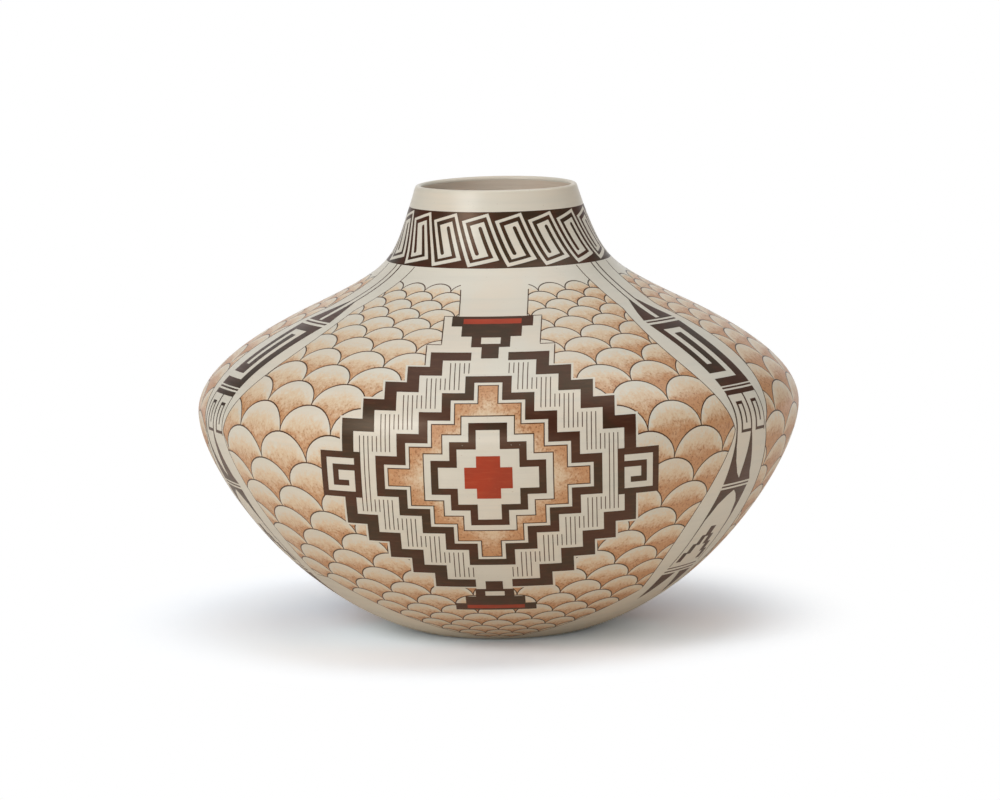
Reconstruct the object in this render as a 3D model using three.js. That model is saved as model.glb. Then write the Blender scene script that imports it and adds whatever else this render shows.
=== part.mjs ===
// Wide-shouldered storage jar of burnished clay, coiled by hand, slipped, painted and fired in one piece.
// Each mesh is one stage of the potter's work: the base pressed in a dish mould, the courses of coils
// luted onto it one above the other, the neck that carries the painted band, and the rim coil.
// Millimetres, +Z up, origin at the middle of the flat resting face.

import * as THREE from 'three';

// Heights of the outer surface, each counted from the circle before it
const BELLY_HEIGHT = 108.5; // resting face to the widest circle
const SHOULDER_RISE = 49.5; // widest circle to the middle of the sloping shoulder
const NECK_RISE = 47.8; // middle of the shoulder to the top of the painted neck
const RIM_HEIGHT = 10.2; // top of the painted neck to the lip

// Radii of the outer surface
const FOOT_RADIUS = 43.5; // edge of the flat resting face
const BELLY_RADIUS = 146; // widest circle
const SHOULDER_RADIUS = 90; // middle of the sloping shoulder
const NECK_RADIUS = 42; // top of the painted neck

// Slope of the outer surface above the level, in degrees
const FOOT_SLOPE = 16;
const SHOULDER_SLOPE = 25.5;
const NECK_SLOPE = 73; // the rim carries on at the same slope

// How far each curve keeps to its end slope, which sets how full the form is
const FOOT_FULLNESS = 62;
const BELLY_FULLNESS_BELOW = 25.5;
const BELLY_FULLNESS_ABOVE = 14.5;
const SHOULDER_FULLNESS_BELOW = 44.5;
const SHOULDER_FULLNESS_ABOVE = 44.5;
const NECK_FULLNESS = 25;

// Thickness of the clay, square to the surface
const WALL_THICKNESS = 4.6;
const LIP_THICKNESS = 3;
const FLOOR_THICKNESS = 6.5;
const FLOOR_FLAT_RADIUS = 26; // level part of the floor inside, before it curves up

// Levels where one stage of the work ends and the next coil is luted on
const BASE_HEIGHT = 18; // above the resting face
const LOWER_SEAM_DROP = 46; // below the widest circle
const UPPER_SEAM_RISE = 26; // above the widest circle
const NECK_BAND_HEIGHT = 25.8; // below the top of the neck, the height of the painted band

// Facets
const AROUND = 64;
const STEPS_PER_CURVE = 12;
const RIM_STEPS = 3;
const LIP_STEPS = 3; // on each side of the very top
const FLOOR_STEPS = 5;

// Finish of the fired surface
const CREAM_SLIP = { color: 0xdcd6c8, roughness: 0.42, metalness: 0 };
const TONED_SLIP = { color: 0xddc4a6, roughness: 0.42, metalness: 0 };
const DARK_PAINT = { color: 0x46332a, roughness: 0.45, metalness: 0 };

const shoulderZ = BELLY_HEIGHT + SHOULDER_RISE;
const neckTopZ = shoulderZ + NECK_RISE;

// A point in the plane of the profile: x is the distance from the axis, y the height
const point = (radius, height) => new THREE.Vector2(radius, height);

// Unit vector along the profile, climbing at a slope and heading out or in
function climb(slope, heading) {
  const angle = THREE.MathUtils.degToRad(slope);
  return point(heading * Math.cos(angle), Math.sin(angle));
}

const OUTWARD = 1;
const INWARD = -1;

// One smooth curve between two circles, given the direction and fullness at each end
function sweep(start, startWay, startFullness, end, endWay, endFullness) {
  const afterStart = start.clone().addScaledVector(startWay, startFullness);
  const beforeEnd = end.clone().addScaledVector(endWay, -endFullness);
  return new THREE.CubicBezierCurve(start, afterStart, beforeEnd, end);
}

// The outer surface from the foot to the lip, as four curves that run smoothly into each other
function outerCurves() {
  const foot = point(FOOT_RADIUS, 0);
  const belly = point(BELLY_RADIUS, BELLY_HEIGHT);
  const shoulder = point(SHOULDER_RADIUS, shoulderZ);
  const neck = point(NECK_RADIUS, neckTopZ);
  const upright = point(0, 1);
  const shoulderWay = climb(SHOULDER_SLOPE, INWARD);
  const neckWay = climb(NECK_SLOPE, INWARD);
  // The lip is a half round on the end of the wall, so the straight rim stops short of the full height
  const lipRadius = LIP_THICKNESS / 2;
  const rimRise = RIM_HEIGHT - lipRadius - lipRadius * neckWay.x;
  const rimEnd = neck.clone().addScaledVector(neckWay, rimRise / neckWay.y);
  return [
    sweep(foot, climb(FOOT_SLOPE, OUTWARD), FOOT_FULLNESS, belly, upright, BELLY_FULLNESS_BELOW),
    sweep(belly, upright, BELLY_FULLNESS_ABOVE, shoulder, shoulderWay, SHOULDER_FULLNESS_BELOW),
    sweep(shoulder, shoulderWay, SHOULDER_FULLNESS_ABOVE, neck, neckWay, NECK_FULLNESS),
    new THREE.LineCurve(neck, rimEnd),
  ];
}

const curves = outerCurves();
const rimStart = curves.length - 1;

// Curve number and place on it for a station, which counts curves from the foot up
function locate(station) {
  const index = Math.min(Math.floor(station), rimStart);
  return [curves[index], station - index];
}

function outerPoint(station) {
  const [curve, t] = locate(station);
  return curve.getPoint(t);
}

// The inner surface lies one wall thickness in, and the rim thins towards the lip
function innerPoint(station) {
  const [curve, t] = locate(station);
  const along = curve.getTangent(t);
  const thinning = Math.max(station - rimStart, 0);
  const thickness = THREE.MathUtils.lerp(WALL_THICKNESS, LIP_THICKNESS, thinning);
  return curve.getPoint(t).add(point(-along.y, along.x).multiplyScalar(thickness));
}

// Station where a surface reaches a height, found by halving
function stationAt(surface, height) {
  let low = 0;
  let high = curves.length;
  for (let i = 0; i < 50; i += 1) {
    const middle = (low + high) / 2;
    if (surface(middle).y < height) low = middle;
    else high = middle;
  }
  return (low + high) / 2;
}

// Evenly spaced values from one number to another, with both ends
const spread = (from, to, steps) =>
  Array.from({ length: steps + 1 }, (_, i) => from + ((to - from) * i) / steps);

// Points up a surface between two heights, with one at each circle where two curves meet
function traceUp(surface, low, high) {
  const start = stationAt(surface, low);
  const end = stationAt(surface, high);
  const meetings = curves.map((_, index) => index).filter((index) => index > start && index < end);
  const stops = [start, ...meetings, end];
  const stations = stops.slice(1).flatMap((stop, i) => {
    const steps = Math.max(1, Math.round((stop - stops[i]) * STEPS_PER_CURVE));
    return spread(stops[i], stop, steps).slice(1);
  });
  return [start, ...stations].map(surface);
}

// Half round from the outer edge of the rim, over the very top, to its inner edge
function lipArc() {
  const outer = outerPoint(curves.length);
  const inner = innerPoint(curves.length);
  const centre = outer.clone().add(inner).multiplyScalar(0.5);
  const first = outer.clone().sub(centre).angle();
  const top = Math.PI / 2;
  const angles = [...spread(first, top, LIP_STEPS), ...spread(top, first + Math.PI, LIP_STEPS).slice(1)];
  const reach = outer.distanceTo(centre);
  return angles.map((angle) => point(Math.cos(angle), Math.sin(angle)).multiplyScalar(reach).add(centre));
}

// Inside of the base: a level floor that curves up into the inner wall at the first seam
function floorProfile() {
  const station = stationAt(innerPoint, BASE_HEIGHT);
  const seam = innerPoint(station);
  const [curve, t] = locate(station);
  const along = curve.getTangent(t);
  const corner = seam.clone().addScaledVector(along, (FLOOR_THICKNESS - seam.y) / along.y);
  const rise = new THREE.QuadraticBezierCurve(seam, corner, point(FLOOR_FLAT_RADIUS, FLOOR_THICKNESS));
  return rise.getPoints(FLOOR_STEPS);
}

// A turned solid from a closed profile, stood up so that its axis is Z
function turned(name, finish, profile) {
  const geometry = new THREE.LatheGeometry(profile, AROUND);
  geometry.rotateX(Math.PI / 2);
  const mesh = new THREE.Mesh(geometry, new THREE.MeshStandardMaterial(finish));
  mesh.name = name;
  return mesh;
}

// One course of coils between two level seams
function course(name, finish, low, high) {
  const profile = [...traceUp(outerPoint, low, high), ...traceUp(innerPoint, low, high).reverse()];
  return turned(name, finish, [...profile, profile[0].clone()]);
}

function base() {
  const outer = traceUp(outerPoint, 0, BASE_HEIGHT);
  const profile = [point(0, 0), ...outer, ...floorProfile(), point(0, FLOOR_THICKNESS)];
  return turned('base', CREAM_SLIP, profile);
}

function rim() {
  const outer = spread(rimStart, curves.length, RIM_STEPS).map(outerPoint);
  const inner = spread(stationAt(innerPoint, neckTopZ), curves.length, RIM_STEPS).map(innerPoint).reverse();
  const profile = [...outer.slice(0, -1), ...lipArc(), ...inner.slice(1)];
  return turned('rim', CREAM_SLIP, [...profile, profile[0].clone()]);
}

const lowerSeam = BELLY_HEIGHT - LOWER_SEAM_DROP;
const upperSeam = BELLY_HEIGHT + UPPER_SEAM_RISE;
const bandSeam = neckTopZ - NECK_BAND_HEIGHT;

const jar = new THREE.Group();
jar.add(
  base(),
  course('lower_wall', TONED_SLIP, BASE_HEIGHT, lowerSeam),
  course('lower_belly', TONED_SLIP, lowerSeam, BELLY_HEIGHT),
  course('upper_belly', TONED_SLIP, BELLY_HEIGHT, upperSeam),
  course('shoulder', TONED_SLIP, upperSeam, bandSeam),
  course('neck', DARK_PAINT, bandSeam, neckTopZ),
  rim(),
);

export default jar;
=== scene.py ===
"""Looks of a wide-shouldered painted storage jar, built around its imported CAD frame.

The clay wall is made stage by stage, as the potter made it. The paint lies on it as thin films whose edges
follow the brush, so every line is a shape of its own. Drawing is done on a chart of the wall: the azimuth in
radians, 0 towards the camera and growing to the right, and the run, the distance in millimetres up the wall
from the foot.
"""

from __future__ import annotations

import logging
import math
from dataclasses import dataclass, field
from enum import Enum
from typing import Callable, Sequence

import bpy
import numpy as np
from mathutils import Euler, Matrix, Vector, geometry


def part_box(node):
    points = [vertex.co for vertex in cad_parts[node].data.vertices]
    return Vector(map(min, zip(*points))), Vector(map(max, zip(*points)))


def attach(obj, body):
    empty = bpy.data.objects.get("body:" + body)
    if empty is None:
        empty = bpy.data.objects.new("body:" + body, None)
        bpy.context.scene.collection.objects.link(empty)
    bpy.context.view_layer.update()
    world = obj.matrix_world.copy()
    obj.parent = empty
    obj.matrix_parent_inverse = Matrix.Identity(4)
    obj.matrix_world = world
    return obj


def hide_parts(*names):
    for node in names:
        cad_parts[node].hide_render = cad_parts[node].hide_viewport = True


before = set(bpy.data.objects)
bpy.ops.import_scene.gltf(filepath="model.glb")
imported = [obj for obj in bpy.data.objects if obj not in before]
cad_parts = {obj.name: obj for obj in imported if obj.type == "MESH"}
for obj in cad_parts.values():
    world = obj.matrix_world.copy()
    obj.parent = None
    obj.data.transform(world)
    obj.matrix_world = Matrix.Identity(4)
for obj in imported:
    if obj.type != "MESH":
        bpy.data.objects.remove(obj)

LOG = logging.getLogger("painted_jar")
MM = 0.001
AROUND = 240  # meridians of the clay wall
TURN = 2 * math.pi
SEGMENT = TURN / AROUND
CURVE_STEPS = 360  # points of each curve of the section
BELOW_NECK = 0.05  # millimetres of bare slip between the painted fields and the neck

Colour = tuple[float, float, float]


def smooth(value: np.ndarray | float) -> np.ndarray | float:
    """Eases a value from 0 to 1 with level ends."""
    held = np.clip(value, 0.0, 1.0)
    return held * held * (3 - 2 * held)


def bell(value: np.ndarray, middle: float, reach: float) -> np.ndarray:
    """1 at a middle value, and fading to 0 on both sides of it."""
    return np.exp(-(((value - middle) / reach) ** 2))


def climb(slope: float, heading: int) -> np.ndarray:
    """Unit vector up the section at a slope in degrees, heading out (1) or in (-1)."""
    angle = math.radians(slope)
    return np.array([heading * math.cos(angle), math.sin(angle)])


def bend(start: np.ndarray, corner: np.ndarray, end: np.ndarray, count: int) -> np.ndarray:
    """Points of a curve that leaves its start towards a corner and comes to its end from there."""
    t = np.linspace(0, 1, count)[:, None]
    return (1 - t) ** 2 * start + 2 * t * (1 - t) * corner + t ** 2 * end


def sweep(start: np.ndarray, way: np.ndarray, fullness: float, end: np.ndarray, end_way: np.ndarray,
          end_fullness: float) -> np.ndarray:
    """Draws one smooth curve between two circles of the form.

    Args:
        start: Radius and height of the first circle.
        way: Direction in which the curve leaves it.
        fullness: How far the curve keeps to that direction.
        end: Radius and height of the second circle.
        end_way: Direction in which the curve arrives.
        end_fullness: How far the curve keeps to that direction.

    Returns:
        The points of the curve, as radius and height.
    """
    t = np.linspace(0, 1, CURVE_STEPS)[:, None]
    after, before = start + way * fullness, end - end_way * end_fullness
    return (1 - t) ** 3 * start + 3 * (1 - t) ** 2 * t * after + 3 * (1 - t) * t ** 2 * before + t ** 3 * end


# ---------------------------------------------------------------- the form of the wall


@dataclass(frozen=True)
class HandWork:
    """The small unevenness of a wall that was coiled and scraped by hand, in millimetres."""

    swell: float = 0.34
    lobes: tuple[tuple[float, ...], ...] = ((0.5, 2, 0.6, 0.012), (0.3, 3, -1.1, -0.021), (0.2, 5, 2.0, 0.034))
    sway: float = 0.5
    sway_foot: float = 20.0  # height at which the sway to the side starts
    sway_span: float = 140.0
    sway_bend: float = 0.013  # radians for each millimetre up, in the sway to the front and back
    luted: float = 0.5  # fullness left where the neck was luted on, twice as much on the right
    luted_at: tuple[float, float] = (187.0, 14.0)  # middle height and reach
    lean: float = 0.9  # how far the upper shoulder stands to the right
    lean_at: tuple[float, float] = (168.0, 18.0)  # middle height and reach
    lip_tilt: float = 0.4
    lip_wave: float = 0.2
    lip_from: tuple[float, float] = (196.0, 20.0)  # height at which the lip rises and falls, and reach
    true_height: float = 45.0  # up to here the jar is truer, because it was pressed in a mould
    true_radius: float = 30.0

    def shape(self, radius: np.ndarray, azimuth: np.ndarray, height: np.ndarray) -> np.ndarray:
        """Gives points of the true form their place on the real, slightly uneven jar.

        Args:
            radius: Distances from the axis in millimetres.
            azimuth: Angles round the axis in radians, 0 towards the camera.
            height: Heights in millimetres.

        Returns:
            The points in metres, one row each.
        """
        grip = smooth(height / self.true_height) * np.clip(radius / self.true_radius, 0, 1)
        lobes = sum(
            share * np.sin(count * azimuth + phase + twist * height) for share, count, phase, twist in self.lobes
        )
        luted = self.luted * (1.5 + 0.5 * np.sin(azimuth)) * bell(height, *self.luted_at)
        across = radius + grip * self.swell * lobes + luted
        aside = self.lean * bell(height, *self.lean_at)
        aside = aside - self.sway * np.sin(math.pi * (height - self.sway_foot) / self.sway_span)
        x = across * np.sin(azimuth) + grip * aside
        y = -across * np.cos(azimuth) + grip * self.sway * np.cos(self.sway_bend * height) / 2
        start, reach = self.lip_from
        wave = self.lip_wave * np.sin(2 * azimuth + 1.9) - self.lip_tilt * np.cos(azimuth)
        return np.stack([x, y, height + smooth((height - start) / reach) * wave], axis=-1) * MM


@dataclass
class WallForm:
    """The clay wall in section, from the foot to the lip, in millimetres and degrees.

    Heights come from the CAD nodes. The rest repeats the sizes that the CAD source is drawn from.
    """

    foot_radius: float = 43.5
    shoulder_radius: float = 90.0
    shoulder_rise: float = 49.5
    neck_radius: float = 42.0
    foot_slope: float = 16.0
    shoulder_slope: float = 25.5
    neck_slope: float = 73.0
    foot_fullness: float = 62.0
    belly_fullness_below: float = 25.5
    belly_fullness_above: float = 14.5
    shoulder_fullness: float = 44.5
    neck_fullness: float = 25.0
    wall: float = 4.6
    lip: float = 3.0
    floor: float = 6.5
    floor_radius: float = 26.0
    rim_steps: int = 60  # points of the straight rim
    hand: HandWork = HandWork()

    def __post_init__(self) -> None:
        """Reads the levels from the frame and draws the outer curve."""
        tops = {name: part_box(name)[1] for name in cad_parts}
        self.seams = {name: top.z / MM for name, top in tops.items()}
        self.belly_radius = tops["lower_belly"].x / MM
        self.belly_height = self.seams["lower_belly"]
        self.neck_top = self.seams["neck"]
        self.top = self.seams["rim"]
        points = self._outer_points()
        steps = np.hypot(*np.diff(points, axis=0).T)
        self.run = np.concatenate([[0.0], np.cumsum(steps)])
        self.radius, self.height = points.T
        along = np.gradient(points, self.run, axis=0)
        along /= np.linalg.norm(along, axis=1)[:, None]
        self.out_radius, self.out_height = along[:, 1], -along[:, 0]
        rim = np.clip((self.height - self.neck_top) / (self.height[-1] - self.neck_top), 0, 1)
        thickness = self.wall + (self.lip - self.wall) * rim
        self.inner_radius = self.radius - self.out_radius * thickness
        self.inner_height = self.height - self.out_height * thickness

    def _outer_points(self) -> np.ndarray:
        """Samples the outer surface as three curves and the straight rim.

        Returns:
            Radii and heights, from the foot up.
        """
        foot = np.array([self.foot_radius, 0.0])
        belly = np.array([self.belly_radius, self.belly_height])
        shoulder = np.array([self.shoulder_radius, self.belly_height + self.shoulder_rise])
        neck = np.array([self.neck_radius, self.neck_top])
        outward, inward = climb(self.foot_slope, 1), climb(self.shoulder_slope, -1)
        upright, steep = np.array([0.0, 1.0]), climb(self.neck_slope, -1)
        rise = self.top - self.neck_top - self.lip / 2 * (1 + steep[0])
        rim_end = neck + steep * rise / steep[1]
        return np.concatenate([
            sweep(foot, outward, self.foot_fullness, belly, upright, self.belly_fullness_below)[:-1],
            sweep(belly, upright, self.belly_fullness_above, shoulder, inward, self.shoulder_fullness)[:-1],
            sweep(shoulder, inward, self.shoulder_fullness, neck, steep, self.neck_fullness)[:-1],
            np.linspace(neck, rim_end, self.rim_steps),
        ])

    def run_at(self, height: float) -> float:
        """Run at which the outer surface reaches a height."""
        return float(np.interp(height, self.height, self.run))

    def radius_at(self, run: np.ndarray | float) -> np.ndarray:
        """Radius of the outer surface at a run."""
        return np.interp(run, self.run, self.radius)

    def height_at(self, run: np.ndarray | float) -> np.ndarray:
        """Height of the outer surface at a run."""
        return np.interp(run, self.run, self.height)

    def place(self, azimuth: np.ndarray, run: np.ndarray, proud: float = 0.0) -> np.ndarray:
        """Puts chart points on the outside of the jar.

        Args:
            azimuth: Angles in radians.
            run: Runs in millimetres.
            proud: How far the points stand off the wall, in millimetres.

        Returns:
            The points in metres.
        """
        radius = self.radius_at(run) + proud * np.interp(run, self.run, self.out_radius)
        height = self.height_at(run) + proud * np.interp(run, self.run, self.out_height)
        return self.hand.shape(radius, azimuth, height)

    def normals(self, azimuth: np.ndarray, run: np.ndarray) -> np.ndarray:
        """Finds which way the uneven wall faces.

        Args:
            azimuth: Angles in radians.
            run: Runs in millimetres.

        Returns:
            The outward unit normals.
        """
        small_turn, small_step = 1e-3, 0.1
        across = self.place(azimuth + small_turn, run) - self.place(azimuth - small_turn, run)
        up = self.place(azimuth, run + small_step) - self.place(azimuth, run - small_step)
        normal = np.cross(across, up)
        return normal / np.linalg.norm(normal, axis=1)[:, None]

    def misfit(self) -> float:
        """Compares the outer curve with the CAD.

        Returns:
            The largest distance, in millimetres, from a CAD vertex on the outside to the curve.
        """
        worst = 0.0
        curve = np.stack([self.radius, self.height], axis=1)
        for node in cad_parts.values():
            x, y, z = np.array([vertex.co for vertex in node.data.vertices]).T / MM
            for corner in np.unique(np.round(np.stack([np.hypot(x, y), z], axis=1), 2), axis=0):
                gap = float(np.hypot(*(curve - corner).T).min())
                if gap < self.lip / 2 and corner[1] < self.height[-1]:
                    worst = max(worst, gap)
        return worst


# ---------------------------------------------------------------- finishes


class NodeSheet:
    """A node tree, with short calls for the nodes that the finishes and the studio need."""

    def __init__(self, tree: bpy.types.NodeTree) -> None:
        """Empties the tree and gives it texture coordinates.

        Args:
            tree: The tree of a material or of the world.
        """
        self.tree = tree
        tree.nodes.clear()
        self.coordinates = self.node("TexCoord").outputs

    def feed(self, socket: bpy.types.NodeSocket, value: object) -> None:
        """Sets a socket to a constant, or links it where the value is another node's output.

        Args:
            socket: An input of a node.
            value: A number, a vector, a colour of three parts or an output.
        """
        if isinstance(value, bpy.types.NodeSocket):
            self.tree.links.new(value, socket)
        elif socket.type == "RGBA":
            socket.default_value = (*value, 1.0)
        else:
            socket.default_value = value

    def node(self, kind: str, inputs: dict[str | int, object] | None = None, **settings: object) -> bpy.types.Node:
        """Adds a node.

        Args:
            kind: Blender's name for it, without its first word ShaderNode.
            inputs: What each input holds, by the input's name or number.
            settings: Properties of the node itself.

        Returns:
            The node.
        """
        node = self.tree.nodes.new(f"ShaderNode{kind}")
        for name, value in settings.items():
            setattr(node, name, value)
        for socket, value in (inputs or {}).items():
            self.feed(node.inputs[socket], value)
        return node

    def noise(self, scale: float, stretch: tuple[float, float, float] = (1, 1, 1), detail: float = 3,
              rough: float = 0.5) -> bpy.types.NodeSocket:
        """Grey noise on the object's own coordinates.

        Args:
            scale: Features per metre.
            stretch: Extra scale along X, Y and Z.
            detail: Octaves.
            rough: Strength of the finer octaves.

        Returns:
            The factor output.
        """
        mapping = self.node("Mapping", {"Vector": self.coordinates["Object"], "Scale": stretch})
        inputs = {"Vector": mapping.outputs[0], "Scale": scale, "Detail": detail, "Roughness": rough}
        return self.node("TexNoise", inputs).outputs["Fac"]

    def math(self, operation: str, first: object, second: object = 0.0) -> bpy.types.NodeSocket:
        """One arithmetic node."""
        return self.node("Math", {0: first, 1: second}, operation=operation).outputs[0]

    def remap(self, value: object, low: float, high: float, to_low: float = 0.0, to_high: float = 1.0,
              ease: bool = True) -> bpy.types.NodeSocket:
        """Stretches a range of a value onto another range, and holds it there.

        Args:
            value: A number or an output.
            low: Start of the range.
            high: End of the range.
            to_low: What the start becomes.
            to_high: What the end becomes.
            ease: Whether the change starts and ends gently.

        Returns:
            The result's output.
        """
        inputs = dict(enumerate((value, low, high, to_low, to_high)))
        return self.node("MapRange", inputs, interpolation_type="SMOOTHSTEP" if ease else "LINEAR").outputs[0]

    def blend(self, share: object, first: object, second: object) -> bpy.types.NodeSocket:
        """Mixes two colours."""
        return self.node("Mix", {0: share, 6: first, 7: second}, data_type="RGBA").outputs[2]

    def weigh(self, share: object, first: object, second: object) -> bpy.types.NodeSocket:
        """Mixes two numbers."""
        return self.node("Mix", {0: share, 2: first, 3: second}).outputs[0]

    def attribute(self, name: str) -> bpy.types.NodeSocket:
        """A value stored on the piece's own mesh."""
        return self.node("Attribute", attribute_name=name).outputs["Fac"]


class FinishSheet(NodeSheet):
    """The node tree of one finish, with its surface shader."""

    def __init__(self, name: str) -> None:
        """Starts a material with only its output and its surface shader.

        Args:
            name: Name of the material.
        """
        self.material = bpy.data.materials.new(name)
        self.material.use_nodes = True
        super().__init__(self.material.node_tree)
        self.surface = self.node("BsdfPrincipled")
        self.node("OutputMaterial", {"Surface": self.surface.outputs[0]})

    def bump(self, relief: object, depth: float) -> None:
        """Gives the surface a fine relief, whose depth is in millimetres."""
        normal = self.node("Bump", {"Distance": depth * MM, "Height": relief}).outputs[0]
        self.feed(self.surface.inputs["Normal"], normal)

    def finish(self, colour: object, roughness: object, specular: float,
               sheen: Colour = (1.0, 1.0, 1.0)) -> bpy.types.Material:
        """Connects what makes up the finish.

        Args:
            colour: Base colour.
            roughness: Roughness.
            specular: Strength of the gloss.
            sheen: Colour of the gloss.

        Returns:
            The material.
        """
        values = {"Base Color": colour, "Roughness": roughness, "Specular IOR Level": specular, "Specular Tint": sheen}
        for name, value in values.items():
            self.feed(self.surface.inputs[name], value)
        return self.material


def tone(red: int, green: int, blue: int) -> Colour:
    """A colour as seen on a screen, 0 to 255, turned into scene-linear light."""
    parts = np.array([red, green, blue]) / 255
    return tuple(float(v) for v in np.where(parts > 0.04045, ((parts + 0.055) / 1.055) ** 2.4, parts / 12.92))


@dataclass(frozen=True)
class BurnishedSlip:
    """Cream slip, rubbed with a smooth stone until it shines softly."""

    cream: Colour = tone(220, 214, 199)
    warm: Colour = tone(223, 212, 194)
    cool: Colour = tone(210, 205, 191)
    speck: Colour = tone(168, 138, 108)
    smoothest: float = 0.31  # roughness along the best rubbed strokes
    roughest: float = 0.41
    relief: float = 0.035  # millimetres
    specular: float = 0.62

    def ground(self, sheet: NodeSheet) -> bpy.types.NodeSocket:
        """Colours the slip: soft clouds, faint strokes round the jar and a few fine specks.

        Args:
            sheet: The finish to add to.

        Returns:
            The colour's output.
        """
        clouds = sheet.remap(sheet.noise(26, detail=4), 0.42, 0.66)
        strokes = sheet.remap(sheet.noise(60, (0.35, 0.35, 7)), 0.4, 0.75, 0, 0.5)
        specks = sheet.remap(sheet.noise(900, detail=2), 0.7, 0.78, 0, 0.45)
        colour = sheet.blend(clouds, self.cream, self.warm)
        colour = sheet.blend(strokes, colour, self.cool)
        return sheet.blend(specks, colour, self.speck)

    def polish(self, sheet: FinishSheet) -> bpy.types.NodeSocket:
        """Gives a finish the relief of the burnish, in strokes that run round the jar.

        Args:
            sheet: The finish to add to.

        Returns:
            The roughness output.
        """
        strokes = sheet.noise(170, (0.22, 0.22, 5), rough=0.6)
        grain = sheet.noise(1500, detail=2)
        sheet.bump(sheet.math("ADD", sheet.math("MULTIPLY", strokes, 0.8), sheet.math("MULTIPLY", grain, 0.2)),
                   self.relief)
        return sheet.remap(strokes, 0.3, 0.72, self.smoothest, self.roughest, ease=False)

    def material(self) -> bpy.types.Material:
        """Builds the cream slip."""
        sheet = FinishSheet("cream_slip_burnished")
        return sheet.finish(self.ground(sheet), self.polish(sheet), self.specular)


@dataclass(frozen=True)
class StippledWash:
    """Orange-brown wash, dabbed on the slip and thinned out across each cell."""

    thin: Colour = tone(223, 199, 167)
    full: Colour = tone(198, 145, 100)
    deep: Colour = tone(140, 82, 44)
    stipple: float = 1.5  # how unevenly the wash takes
    dot_strength: float = 0.75
    specular: float = 0.55
    slip: BurnishedSlip = BurnishedSlip()

    def material(self) -> bpy.types.Material:
        """Builds the wash, which follows the strength stored on the mesh.

        Returns:
            The material.
        """
        sheet = FinishSheet("stippled_orange_wash")
        strength = sheet.attribute("shade")
        dabs = sheet.noise(330, detail=4, rough=0.65)
        grit = sheet.noise(980, (1, 1, 0.7), detail=2, rough=0.7)
        uneven = sheet.math("ADD", sheet.math("MULTIPLY", dabs, 0.55), sheet.math("MULTIPLY", grit, 0.45))
        spread = sheet.math("MULTIPLY", sheet.math("SUBTRACT", uneven, 0.5), self.stipple)
        load = sheet.math("ADD", strength, sheet.math("MULTIPLY", spread, sheet.remap(strength, 0, 0.3, 0.25, 1)))
        colour = sheet.blend(sheet.remap(load, 0.02, 0.4), self.slip.ground(sheet), self.thin)
        colour = sheet.blend(sheet.remap(load, 0.28, 0.95), colour, self.full)
        dots = sheet.math("MULTIPLY", sheet.remap(grit, 0.52, 0.7), sheet.remap(load, 0.4, 1.0))
        colour = sheet.blend(sheet.math("MULTIPLY", dots, self.dot_strength), colour, self.deep)
        return sheet.finish(colour, self.slip.polish(sheet), self.specular)


@dataclass(frozen=True)
class MineralPaint:
    """A mineral paint laid on with a fine brush and burnished into the slip."""

    name: str
    body: Colour
    cast: Colour
    worn: Colour
    sheen: Colour = (1.0, 0.8, 0.6)  # iron-rich paint shines a little warmer than slip
    specular: float = 0.66
    rougher: float = 0.01  # than the slip under it

    def material(self) -> bpy.types.Material:
        """Builds the paint: brush streaks, a second cast in patches and thin places.

        Returns:
            The material.
        """
        sheet = FinishSheet(self.name)
        patches = sheet.remap(sheet.noise(38, detail=4, rough=0.6), 0.42, 0.62)
        streaks = sheet.remap(sheet.noise(330, (0.4, 0.4, 3), rough=0.6), 0.45, 0.8, 0, 0.5)
        thin = sheet.remap(sheet.noise(700, rough=0.6), 0.62, 0.8, 0, 0.4)
        colour = sheet.blend(patches, self.body, self.cast)
        colour = sheet.blend(sheet.math("MAXIMUM", streaks, thin), colour, self.worn)
        rough = sheet.math("ADD", BurnishedSlip().polish(sheet), self.rougher)
        return sheet.finish(colour, rough, self.specular, self.sheen)


@dataclass(frozen=True)
class BareClay:
    """Fired clay without slip, scraped inside, with slip that ran over the lip."""

    clay: Colour = tone(250, 217, 192)
    pale: Colour = tone(250, 230, 212)
    slip_edge: float = 0.2085  # height in metres down to which the slip ran
    slip_fade: float = 0.007
    ragged: float = 0.008
    relief: float = 0.25  # millimetres
    specular: float = 0.3

    def material(self) -> bpy.types.Material:
        """Builds the inside.

        Returns:
            The material.
        """
        sheet = FinishSheet("bare_clay_scraped")
        colour = sheet.blend(sheet.remap(sheet.noise(45, detail=5), 0.4, 0.65), self.clay, self.pale)
        scrape = sheet.noise(110, (0.5, 0.5, 6), detail=4, rough=0.6)
        height = sheet.node("SeparateXYZ", {0: sheet.coordinates["Object"]}).outputs["Z"]
        level = sheet.math("ADD", height, sheet.math("MULTIPLY", sheet.noise(60), self.ragged))
        ran_in = sheet.remap(level, self.slip_edge, self.slip_edge + self.slip_fade, 0, 0.8)
        colour = sheet.blend(ran_in, colour, BurnishedSlip().warm)
        sheet.bump(scrape, self.relief)
        return sheet.finish(colour, sheet.remap(scrape, 0.3, 0.7, 0.62, 0.8, ease=False), self.specular)


DARK_BROWN = MineralPaint("dark_brown_paint", tone(65, 28, 13), tone(49, 32, 16), tone(88, 53, 32))
BRICK_RED = MineralPaint("brick_red_paint", tone(170, 50, 22), tone(158, 48, 24), tone(182, 78, 46))


# ---------------------------------------------------------------- the clay wall


class Stage(Enum):
    """The stages of the potter's work, each named as its CAD node."""

    BASE = "base"
    LOWER_WALL = "lower_wall"
    LOWER_BELLY = "lower_belly"
    UPPER_BELLY = "upper_belly"
    SHOULDER = "shoulder"
    NECK = "neck"
    RIM = "rim"


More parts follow.
